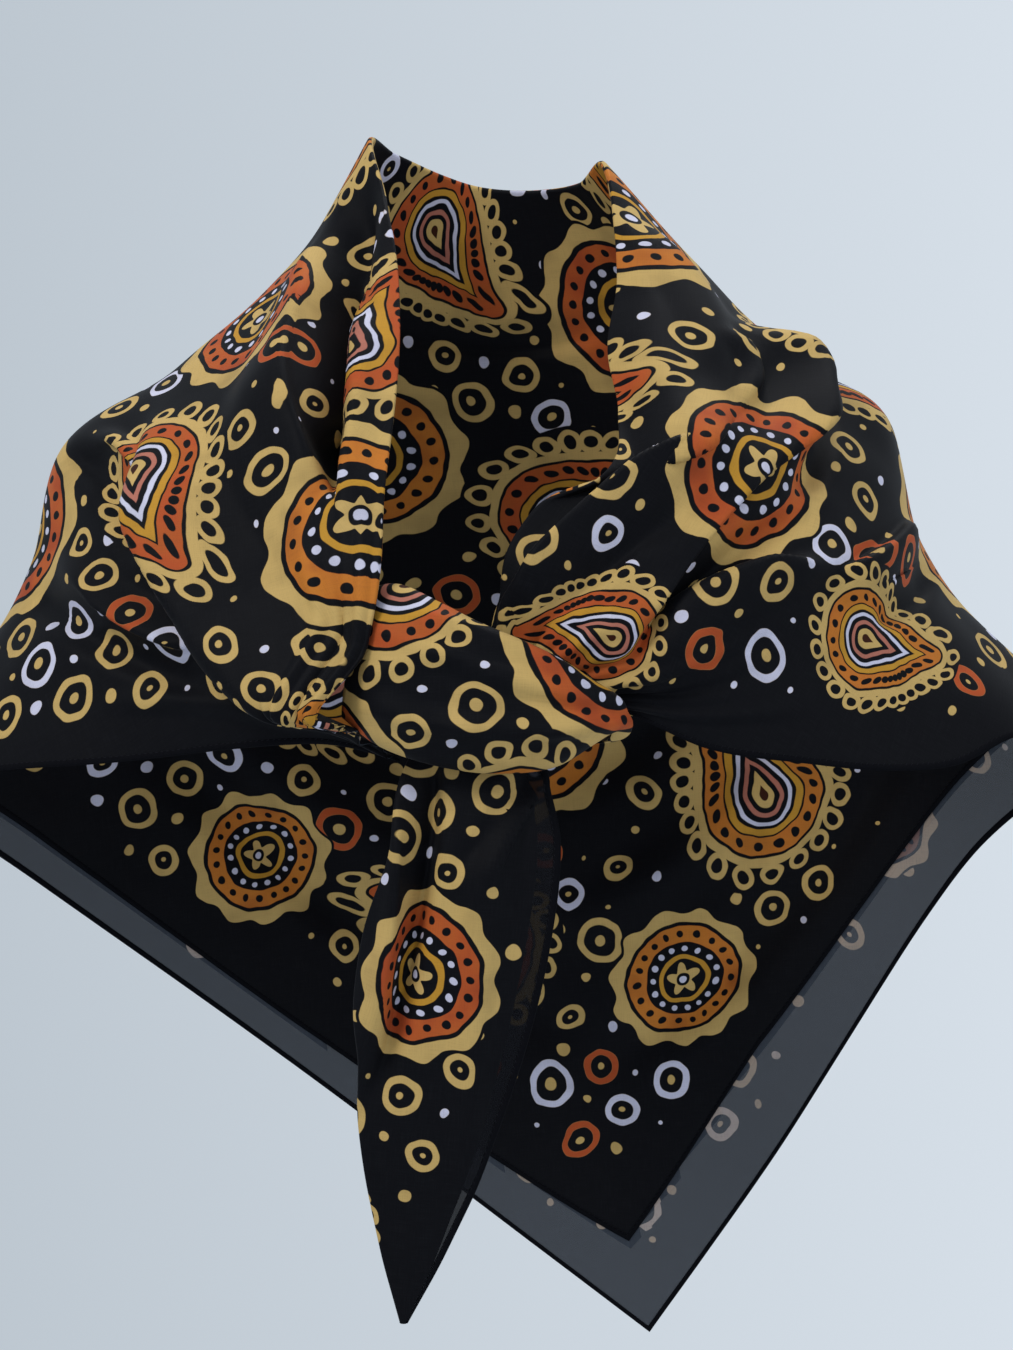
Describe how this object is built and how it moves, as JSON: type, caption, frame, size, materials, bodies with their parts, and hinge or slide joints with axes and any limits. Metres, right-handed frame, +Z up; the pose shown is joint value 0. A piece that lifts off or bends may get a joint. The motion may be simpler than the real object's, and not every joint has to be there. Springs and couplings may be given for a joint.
{
  "type": "tied square scarf",
  "caption": "Light printed square scarf folded to a triangle, worn round the shoulders and tied at the chest in a half knot.",
  "frame": {"origin": "middle of the wearer's neck at shoulder height, where the wearer carries the scarf", "axes": "+Z up, the wearer faces -Y, +X is on the viewer's right when facing the wearer"},
  "size_m": [0.6096, 0.3019, 0.6269],
  "materials": {
    "print_cloth": "light sheer voile, printed in gold, rust and pale lilac on blue-black, with a soft low sheen",
    "sheer_reverse": "wrong side of the same voile, one layer, grey and slightly see-through",
    "hem_thread": "narrow rolled hem, dark, with fine stitches"
  },
  "bodies": {
    "root": {"left_front": "print_cloth", "right_front": "print_cloth", "back_outer": "print_cloth", "back_inner": "print_cloth", "knot_band": "print_cloth", "short_end": "print_cloth", "tail_outer": "print_cloth", "tail_inner": "print_cloth"}
  },
  "joints": []
}
